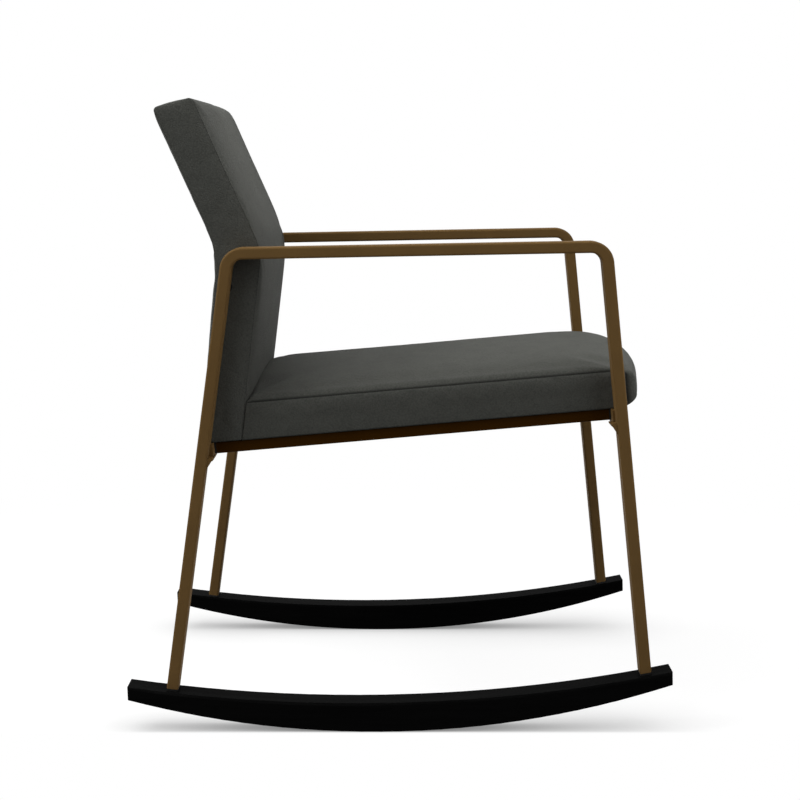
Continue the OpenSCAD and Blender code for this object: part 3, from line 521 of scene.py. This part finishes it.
def makeSpeckleGroup():
    group, start, end = newGroup("finishSpeckle", [
        ("Speckle Size", "NodeSocketFloat", 0.0012), ("Cloud Size", "NodeSocketFloat", 0.05)],
        [("Height", "NodeSocketFloat"), ("Shade", "NodeSocketFloat")])
    links = group.links
    coords = addNode(group, "ShaderNodeTexCoord")
    fine = addNode(group, "ShaderNodeTexNoise", {"Detail": 2.0, "Roughness": speckle["rough"]})
    cloud = addNode(group, "ShaderNodeTexNoise", {"Detail": 3.0, "Roughness": speckle["rough"]})
    for node, label in ((fine, "Speckle Size"), (cloud, "Cloud Size")):
        links.new(coords.outputs["Object"], node.inputs["Vector"])
        links.new(mathNode(group, "DIVIDE", 1.0, start.outputs[label]), node.inputs["Scale"])
    links.new(fine.outputs["Fac"], end.inputs["Height"])
    links.new(blendOf(group, fine.outputs["Fac"], speckle["fineShade"], cloud.outputs["Fac"],
                      speckle["cloudShade"]), end.inputs["Shade"])
    return group


# Long grain along Y: a height and a shade
grain = {"poreRough": 0.6, "bandRatio": 0.18, "poreShade": 0.5, "bandShade": 0.5}


def makeWoodGroup():
    group, start, end = newGroup("longGrain", [
        ("Grain Size", "NodeSocketFloat", 0.003), ("Stretch", "NodeSocketFloat", 0.05)],
        [("Height", "NodeSocketFloat"), ("Shade", "NodeSocketFloat")])
    links = group.links
    coords = addNode(group, "ShaderNodeTexCoord")
    split = addNode(group, "ShaderNodeSeparateXYZ")
    join = addNode(group, "ShaderNodeCombineXYZ")
    links.new(coords.outputs["Object"], split.inputs[0])
    links.new(split.outputs["X"], join.inputs["X"])
    links.new(mathNode(group, "MULTIPLY", split.outputs["Y"], start.outputs["Stretch"]),
              join.inputs["Y"])
    links.new(split.outputs["Z"], join.inputs["Z"])
    scale = mathNode(group, "DIVIDE", 1.0, start.outputs["Grain Size"])
    pores = addNode(group, "ShaderNodeTexNoise", {"Detail": 5.0,
                                                  "Roughness": grain["poreRough"]})
    links.new(join.outputs[0], pores.inputs["Vector"])
    links.new(scale, pores.inputs["Scale"])
    bands = addNode(group, "ShaderNodeTexNoise", {"Detail": 2.0})
    links.new(join.outputs[0], bands.inputs["Vector"])
    links.new(mathNode(group, "MULTIPLY", scale, grain["bandRatio"]), bands.inputs["Scale"])
    links.new(pores.outputs["Fac"], end.inputs["Height"])
    links.new(blendOf(group, pores.outputs["Fac"], grain["poreShade"], bands.outputs["Fac"],
                      grain["bandShade"]), end.inputs["Shade"])
    return group


pebbleGroup, speckleGroup, woodGroup = makePebbleGroup(), makeSpeckleGroup(), makeWoodGroup()


# One material: a group's shade mixes two colours, its height drives a bump
def makeMaterial(name, group, look):
    material = bpy.data.materials.new(name)
    material.use_nodes = True
    tree = material.node_tree
    shader = tree.nodes["Principled BSDF"]
    detail = addNode(tree, "ShaderNodeGroup", node_tree=group)
    for key, value in look["detail"].items():
        detail.inputs[key].default_value = value
    ramp = addNode(tree, "ShaderNodeMapRange")
    ramp.inputs["From Min"].default_value, ramp.inputs["From Max"].default_value = look["range"]
    tree.links.new(detail.outputs["Shade"], ramp.inputs["Value"])
    colour = mixColour(tree, ramp.outputs["Result"], (*look["dark"], 1), (*look["light"], 1))
    tree.links.new(colour, shader.inputs["Base Color"])
    rough = addNode(tree, "ShaderNodeMapRange")
    rough.inputs["To Min"].default_value, rough.inputs["To Max"].default_value = look["rough"]
    tree.links.new(detail.outputs["Shade"], rough.inputs["Value"])
    tree.links.new(rough.outputs["Result"], shader.inputs["Roughness"])
    bump = addNode(tree, "ShaderNodeBump", {"Strength": look["bump"][0],
                                             "Distance": look["bump"][1]})
    tree.links.new(detail.outputs["Height"], bump.inputs["Height"])
    tree.links.new(bump.outputs["Normal"], shader.inputs["Normal"])
    # Painted shadow along the seams: the seam rings' weight mixes the colour towards the
    # near-black seam colour, in place of the groove's shade
    if "seamShadowWeight" in look:
        seam = addNode(tree, "ShaderNodeAttribute", attribute_name="seamShadowMask")
        shade = mathNode(tree, "MULTIPLY", seam.outputs["Fac"], look["seamShadowWeight"])
        colour = mixColour(tree, shade, colour, (*look["seam"], 1))
        tree.links.new(colour, shader.inputs["Base Color"])
    for key, value in look.get("shader", {}).items():
        shader.inputs[key].default_value = value
    return material


looks = {
    "upholstery": (pebbleGroup, {
        "detail": {"Pebble Size": 0.0023, "Mottle Size": 0.03}, "range": (0.3, 0.75),
        "dark": (0.088, 0.090, 0.081), "light": (0.117, 0.120, 0.107), "rough": (0.72, 0.60),
        # the near-black seam colour is painted shadow for the seam grooves
        "bump": (0.8, 0.0007), "seam": (0.004, 0.004, 0.004), "seamShadowWeight": 0.85,
        "shader": {"Sheen Weight": 0.06, "Sheen Roughness": 0.45, "Specular IOR Level": 0.02}}),
    "bronzePaint": (speckleGroup, {
        "detail": {"Speckle Size": 0.0009, "Cloud Size": 0.06}, "range": (0.3, 0.7),
        "dark": (0.166, 0.095, 0.0315), "light": (0.197, 0.114, 0.0375), "rough": (0.74, 0.66),
        "bump": (0.12, 0.0003), "shader": {"Metallic": 0.1, "Specular IOR Level": 0.12}}),
    # A darker, more saturated bronze: painted shade for the seat rails, which lie in the
    # cushion's shadow
    "bronzePaintedShade": (speckleGroup, {
        "detail": {"Speckle Size": 0.0009, "Cloud Size": 0.06}, "range": (0.3, 0.7),
        "dark": (0.040, 0.0145, 0.0004), "light": (0.049, 0.0185, 0.0008), "rough": (0.55, 0.45),
        "bump": (0.12, 0.0003), "shader": {"Metallic": 0.1, "Specular IOR Level": 0.02}}),
    "runnerBlack": (woodGroup, {
        "detail": {"Grain Size": 0.0016, "Stretch": 0.04}, "range": (0.3, 0.7),
        "dark": (0.0032, 0.0032, 0.0032), "light": (0.0064, 0.0064, 0.0064),
        "rough": (0.52, 0.40), "bump": (0.1, 0.0003), "shader": {"Specular IOR Level": 0.002}}),
    "blackPlastic": (speckleGroup, {
        "detail": {"Speckle Size": 0.0006, "Cloud Size": 0.02}, "range": (0.3, 0.7),
        "dark": (0.006, 0.006, 0.006), "light": (0.012, 0.012, 0.012), "rough": (0.6, 0.5),
        "bump": (0.2, 0.0002), "shader": {"Specular IOR Level": 0.15}}),
    "dustCloth": (speckleGroup, {
        "detail": {"Speckle Size": 0.0015, "Cloud Size": 0.02}, "range": (0.3, 0.7),
        "dark": (0.006, 0.006, 0.006), "light": (0.016, 0.016, 0.016), "rough": (0.95, 0.85),
        "bump": (0.6, 0.0005), "shader": {"Specular IOR Level": 0.1}}),
    "foam": (speckleGroup, {
        "detail": {"Speckle Size": 0.0012, "Cloud Size": 0.05}, "range": (0.3, 0.7),
        "dark": (0.62, 0.55, 0.36), "light": (0.75, 0.68, 0.48), "rough": (0.95, 0.9),
        "bump": (0.8, 0.001)}),
    "plywood": (woodGroup, {
        "detail": {"Grain Size": 0.002, "Stretch": 0.06}, "range": (0.3, 0.7),
        "dark": (0.42, 0.26, 0.12), "light": (0.62, 0.45, 0.26), "rough": (0.7, 0.55),
        "bump": (0.25, 0.0004)}),
    "zincSteel": (speckleGroup, {
        "detail": {"Speckle Size": 0.0008, "Cloud Size": 0.01}, "range": (0.3, 0.7),
        "dark": (0.40, 0.40, 0.38), "light": (0.56, 0.56, 0.54), "rough": (0.4, 0.28),
        "bump": (0.1, 0.0002), "shader": {"Metallic": 1.0}}),
    "thread": (speckleGroup, {
        "detail": {"Speckle Size": 0.0004, "Cloud Size": 0.01}, "range": (0.3, 0.7),
        "dark": (0.050, 0.051, 0.046), "light": (0.075, 0.077, 0.070), "rough": (0.8, 0.7),
        "bump": (0.5, 0.0001), "shader": {"Specular IOR Level": 0.1}}),
}
materials = {name: makeMaterial(name, group, look) for name, (group, look) in looks.items()}
slotLooks = {"bronze_paint": "bronzePaint", "runner_black": "runnerBlack",
             "black_plastic": "blackPlastic", "upholstery": "upholstery",
             "dust_cloth": "dustCloth", "foam": "foam", "plywood": "plywood",
             "zinc_steel": "zincSteel"}
slotOf = {part["node"]: part["material_slot"] for part in frame["record"]["subparts"]}
# The seat rails get the darker bronze as painted shade, standing in for the cushion's shadow
# over them
paintedShadeNodes = {"seat_rail_right", "seat_rail_left", "seat_cross_rail_front",
               "seat_cross_rail_rear"}
for node, solid in frame["nodes"].items():
    look = "bronzePaintedShade" if node in paintedShadeNodes else slotLooks[slotOf[node]]
    for slot in solid.material_slots:
        slot.material = materials[look]
print("materials made:", len(materials))


# Stitches in the seams and staples under the seat, set along a path by Geometry Nodes
def closedPath(name, points):
    curve = bpy.data.curves.new(name, "CURVE")
    curve.dimensions = "3D"
    spline = curve.splines.new("POLY")
    spline.points.add(len(points) - 1)
    for point, co in zip(spline.points, points):
        point.co = (*co, 1)
    spline.use_cyclic_u = True
    return newObject(name, curve)


def makeRepeatTree(name, build):
    tree = bpy.data.node_groups.new(name, "GeometryNodeTree")
    sockets = {}
    tree.interface.new_socket(name="Geometry", in_out="INPUT", socket_type="NodeSocketGeometry")
    for label, kind in (("Spacing", "NodeSocketFloat"), ("Length", "NodeSocketFloat"),
                        ("Thickness", "NodeSocketFloat"), ("Finish", "NodeSocketMaterial")):
        sockets[label] = tree.interface.new_socket(name=label, in_out="INPUT",
                                                   socket_type=kind).identifier
    tree.interface.new_socket(name="Geometry", in_out="OUTPUT", socket_type="NodeSocketGeometry")
    start, end = tree.nodes.new("NodeGroupInput"), tree.nodes.new("NodeGroupOutput")
    spaced = tree.nodes.new("GeometryNodeCurveToPoints")
    spaced.mode = "LENGTH"
    placed = tree.nodes.new("GeometryNodeInstanceOnPoints")
    real = tree.nodes.new("GeometryNodeRealizeInstances")
    finish = tree.nodes.new("GeometryNodeSetMaterial")
    shape = build(tree, start)
    for a, b in ((start.outputs["Geometry"], spaced.inputs["Curve"]),
                 (start.outputs["Spacing"], spaced.inputs["Length"]),
                 (spaced.outputs["Points"], placed.inputs["Points"]),
                 (spaced.outputs["Rotation"], placed.inputs["Rotation"]),
                 (shape, placed.inputs["Instance"]),
                 (placed.outputs["Instances"], real.inputs["Geometry"]),
                 (real.outputs["Geometry"], finish.inputs["Geometry"]),
                 (start.outputs["Finish"], finish.inputs["Material"]),
                 (finish.outputs["Geometry"], end.inputs["Geometry"])):
        tree.links.new(a, b)
    return tree, sockets


threadSides = 6
stitchFaces, stapleFaces = threadSides + 2, 6


def stitchShape(tree, start):
    thread = tree.nodes.new("GeometryNodeMeshCylinder")
    thread.inputs["Vertices"].default_value = threadSides
    for socket, label in (("Radius", "Thickness"), ("Depth", "Length")):
        tree.links.new(start.outputs[label], thread.inputs[socket])
    return thread.outputs["Mesh"]


def stapleShape(tree, start):
    bar = tree.nodes.new("GeometryNodeMeshCube")
    size = tree.nodes.new("ShaderNodeCombineXYZ")
    tree.links.new(start.outputs["Thickness"], size.inputs["X"])
    tree.links.new(start.outputs["Thickness"], size.inputs["Y"])
    tree.links.new(start.outputs["Length"], size.inputs["Z"])
    tree.links.new(size.outputs[0], bar.inputs["Size"])
    return bar.outputs["Mesh"]


def alongPath(name, tree, sockets, points, sizes, finish):
    piece = closedPath(name, points)
    mod = piece.modifiers.new("repeat", "NODES")
    mod.node_group = tree
    for label, value in sizes.items():
        mod[sockets[label]] = value
    mod[sockets["Finish"]] = materials[finish]
    shaped = piece.evaluated_get(bpy.context.evaluated_depsgraph_get())
    mesh = bpy.data.meshes.new_from_object(shaped)
    mesh.name = name
    curve = piece.data
    bpy.data.objects.remove(piece)
    bpy.data.curves.remove(curve)
    return newObject(name, mesh)


stitchTree, stitchSockets = makeRepeatTree("seamStitches", stitchShape)
stapleTree, stapleSockets = makeRepeatTree("dustCoverStaples", stapleShape)
stitchSizes = {"Spacing": 0.0036, "Length": 0.0026, "Thickness": 0.00035}
stapleSizes = {"Spacing": 0.055, "Length": 0.0105, "Thickness": 0.0011}


def joinPieces(name, pieces):
    bm = bmesh.new()
    for piece in pieces:
        bm.from_mesh(piece.data)
    mesh = pieces[0].data
    bm.to_mesh(mesh)
    bm.free()
    for piece in pieces[1:]:
        bpy.data.objects.remove(piece)
    pieces[0].name = mesh.name = name
    return pieces[0]


def makeStitches(name, seams):
    made = [alongPath(name + str(i), stitchTree, stitchSockets, seam, stitchSizes, "thread")
            for i, seam in enumerate(seams)]
    return joinPieces(name, made)


seatStitches = makeStitches("seatSeamStitches", seatSeams)
backStitches = makeStitches("backSeamStitches", backSeams)


# Dust cover: a thin cloth pulled flat under the deck and stapled round its edge
dustCover = {"halfWidth": 0.2215, "frontY": -0.2469, "rearY": 0.1978, "step": 0.008,
             "height": 0.0153, "sag": 0.0022, "pucker": 0.0006, "puckerReach": 0.018,
             "stapleInset": 0.008, "stapleSink": 0.0006}


def makeDustCover():
    s = dustCover
    half, y0, y1 = s["halfWidth"], s["frontY"], s["rearY"]
    columns, rows = round(2 * half / s["step"]), round((y1 - y0) / s["step"])
    place = seatPlace()
    points, faces = [], []
    for j in range(rows + 1):
        for i in range(columns + 1):
            x, y = -half + 2 * half * i / columns, y0 + (y1 - y0) * j / rows
            v = 2 * (y - y0) / (y1 - y0) - 1
            sag = s["sag"] * (1 - (x / half) ** 2) * (1 - v * v)
            toSide, toEnd = half - abs(x), (1 - abs(v)) * (y1 - y0) / 2
            along = y if toSide < toEnd else x
            fold = 0.5 - 0.5 * math.cos(2 * math.pi * along / stapleSizes["Spacing"])
            fold *= s["pucker"] * math.exp(-min(toSide, toEnd) / s["puckerReach"])
            points.append(place @ Vector((x, y, s["height"] - sag - fold)))
    for j in range(rows):
        for i in range(columns):
            k = j * (columns + 1) + i
            faces.append((k, k + columns + 1, k + columns + 2, k + 1))
    mesh = bpy.data.meshes.new("dustCoverCloth")
    mesh.from_pydata(points, [], faces)
    piece = newObject("dustCoverCloth", mesh)
    mesh.materials.append(materials["dustCloth"])
    smoothShade(piece)
    return piece


def makeStaples():
    s = dustCover
    place = seatPlace()
    inset, drop = s["stapleInset"], s["height"] - s["stapleSink"]
    x, y0, y1 = s["halfWidth"] - inset, s["frontY"] + inset, s["rearY"] - inset
    corners = [(-x, y0), (x, y0), (x, y1), (-x, y1)]
    points = [place @ Vector((a, b, drop)) for a, b in corners]
    return alongPath("dustCoverStaples", stapleTree, stapleSockets, points, stapleSizes,
                     "zincSteel")


dustCloth, staples = makeDustCover(), makeStaples()
print("stitches, dust cover and staples set:", len(seatStitches.data.polygons) // stitchFaces,
      len(backStitches.data.polygons) // stitchFaces, len(staples.data.polygons) // stapleFaces)

for piece, nodes in ((seatCushion, ("seat_cover", "seat_foam")),
                     (backCushion, ("back_cover", "back_foam"))):
    piece.data.materials.clear()
    piece.data.materials.append(materials["upholstery"])
    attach(piece, "root")
    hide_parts(*nodes)
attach(dustCloth, "root")
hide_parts("seat_dust_cover")
for piece, slot in ((seatStitches, "upholstery"), (backStitches, "upholstery"),
                    (staples, "zinc_steel")):
    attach(piece, "root")


# Camera, lamps, floor and world
cameraView = {"place": (-2.6737, 0.0, 0.7681), "downTilt": 7.35, "lens": 80.1, "sensor": 36.0}
camera = newObject("camera", bpy.data.cameras.new("camera"))
camera.data.lens, camera.data.sensor_width = cameraView["lens"], cameraView["sensor"]
camera.location = cameraView["place"]
camera.rotation_euler = (math.radians(90 - cameraView["downTilt"]), 0, math.radians(-90))
bpy.context.scene.camera = camera

lamps = {
    "overheadRear": {"place": (0, 1.8, 3.3), "size": 1.6, "power": 34.0},
    "overheadSpot": {"place": (0, 0.6, 3.4), "size": 0.8, "power": 9.0},
    "overheadSide": {"place": (-1.3, -1.5, 3.1), "size": 1.6, "power": 17.0},
    "rearKey": {"place": (-1.0, 2.2, 2.6), "size": 0.8, "power": 19.0},
    "sideKey": {"place": (-2.2, 1.2, 2.8), "size": 0.8, "power": 6.0},
    "frontHigh": {"place": (0, -2.6, 2.6), "size": 1.2, "power": 9.5},
    "frontSide": {"place": (-2.2, -2.2, 1.8), "size": 1.8, "power": 12.0},
    "rearSide": {"place": (-2.2, 2.2, 1.8), "size": 1.8, "power": 11.5},
}
lampAim = (0, 0, 0.5)
spots = {
    "backSpot": {"place": (0, -2.5, 2.4), "aim": (0, 0.3, 0.86), "cone": 11.0, "power": 185.0},
    "noseSpot": {"place": (-0.4, -2.0, 1.5), "aim": (-0.2, -0.33, 0.46), "cone": 11.0,
                 "power": 75.0},
}
spotSoftness = {"blend": 1.0, "radius": 0.2}


def placeLamp(name, kind, place, aim, power):
    data = bpy.data.lights.new(name, kind)
    data.energy = power
    lamp = newObject(name, data)
    lamp.location = place
    lamp.rotation_euler = (Vector(aim) - Vector(place)).to_track_quat("-Z", "Y").to_euler()
    return data


for name, lamp in lamps.items():
    placeLamp(name, "AREA", lamp["place"], lampAim, lamp["power"]).size = lamp["size"]
for name, lamp in spots.items():
    spot = placeLamp(name, "SPOT", lamp["place"], lamp["aim"], lamp["power"])
    spot.spot_size, spot.spot_blend = math.radians(lamp["cone"]), spotSoftness["blend"]
    spot.shadow_soft_size = spotSoftness["radius"]

worldLight = {"colour": (1.0, 1.0, 1.0), "strength": 0.02}


# One where a ray comes straight from the camera, off gloss or through a clear thing
def seenRay(tree):
    path = addNode(tree, "ShaderNodeLightPath")
    seen = mathNode(tree, "MAXIMUM", path.outputs["Is Camera Ray"],
                    path.outputs["Is Transmission Ray"])
    return mathNode(tree, "MAXIMUM", seen, path.outputs["Is Glossy Ray"])


def makeWorld():
    world = bpy.data.worlds.new("studio")
    bpy.context.scene.world = world
    world.use_nodes = True
    tree = world.node_tree
    tree.nodes.clear()
    light = addNode(tree, "ShaderNodeBackground", {"Color": (*worldLight["colour"], 1),
                                                   "Strength": worldLight["strength"]})
    white = addNode(tree, "ShaderNodeBackground", {"Color": paperWhite, "Strength": 1.0})
    mix = addNode(tree, "ShaderNodeMixShader")
    out = addNode(tree, "ShaderNodeOutputWorld")
    tree.links.new(seenRay(tree), mix.inputs[0])
    tree.links.new(light.outputs[0], mix.inputs[1])
    tree.links.new(white.outputs[0], mix.inputs[2])
    tree.links.new(mix.outputs[0], out.inputs[0])


floorLook = {"size": 40.0, "bounce": (0.30, 0.30, 0.30), "seen": (0.22, 0.22, 0.22),
             "rough": 0.9, "lift": 0.92, "contactReach": 0.14, "contactDark": 0.24,
             "contactSamples": 16, "farClear": (0.75, 1.7), "nearClear": (-0.306, -0.292)}


# The floor lights the chair as a dull surface, and is seen as white paper with the shadow on it
def makeFloor():
    half = floorLook["size"] / 2
    mesh = bpy.data.meshes.new("floor")
    mesh.from_pydata([(-half, -half, 0), (half, -half, 0), (half, half, 0), (-half, half, 0)],
                     [], [(0, 1, 2, 3)])
    floor = newObject("floor", mesh)
    material = bpy.data.materials.new("paleFloor")
    material.use_nodes = True
    tree = material.node_tree
    shader = tree.nodes["Principled BSDF"]
    seen = seenRay(tree)
    colour = mixColour(tree, seen, (*floorLook["bounce"], 1), (*floorLook["seen"], 1))
    tree.links.new(colour, shader.inputs["Base Color"])
    shader.inputs["Roughness"].default_value = floorLook["rough"]
    shader.inputs["Specular IOR Level"].default_value = 0.0
    coords = addNode(tree, "ShaderNodeTexCoord")
    length = addNode(tree, "ShaderNodeVectorMath", operation="LENGTH")
    tree.links.new(coords.outputs["Object"], length.inputs[0])
    farClear = addNode(tree, "ShaderNodeMapRange", interpolation_type="SMOOTHSTEP")
    for label, value in zip(("From Min", "From Max"), floorLook["farClear"]):
        farClear.inputs[label].default_value = value
    tree.links.new(length.outputs["Value"], farClear.inputs["Value"])
    # in front of the near runner the paper is burnt out to white
    split = addNode(tree, "ShaderNodeSeparateXYZ")
    tree.links.new(coords.outputs["Object"], split.inputs[0])
    nearClear = addNode(tree, "ShaderNodeMapRange", {"To Min": 1.0, "To Max": 0.0},
                        interpolation_type="SMOOTHSTEP")
    for label, value in zip(("From Min", "From Max"), floorLook["nearClear"]):
        nearClear.inputs[label].default_value = value
    tree.links.new(split.outputs["X"], nearClear.inputs["Value"])
    cleared = mathNode(tree, "MAXIMUM", farClear.outputs["Result"],
                       nearClear.outputs["Result"])
    glow = addNode(tree, "ShaderNodeEmission", {"Color": paperWhite})
    contact = addNode(tree, "ShaderNodeAmbientOcclusion",
                      {"Distance": floorLook["contactReach"]},
                      samples=floorLook["contactSamples"])
    contactShade = addNode(tree, "ShaderNodeMapRange")
    contactShade.inputs["To Min"].default_value = floorLook["contactDark"]
    tree.links.new(contact.outputs["AO"], contactShade.inputs["Value"])
    lift = mathNode(tree, "MULTIPLY", contactShade.outputs["Result"], floorLook["lift"])
    tree.links.new(mathNode(tree, "MULTIPLY", seen, lift), glow.inputs["Strength"])
    lit = addNode(tree, "ShaderNodeAddShader")
    tree.links.new(shader.outputs[0], lit.inputs[0])
    tree.links.new(glow.outputs[0], lit.inputs[1])
    white = addNode(tree, "ShaderNodeEmission", {"Color": paperWhite, "Strength": 1.0})
    mix = addNode(tree, "ShaderNodeMixShader")
    tree.links.new(mathNode(tree, "MULTIPLY", cleared, seen), mix.inputs[0])
    tree.links.new(lit.outputs[0], mix.inputs[1])
    tree.links.new(white.outputs[0], mix.inputs[2])
    tree.links.new(mix.outputs[0], tree.nodes["Material Output"].inputs["Surface"])
    mesh.materials.append(material)


makeWorld()
makeFloor()
bpy.context.scene.view_settings.view_transform = "Standard"
print("camera, lamps and floor set")
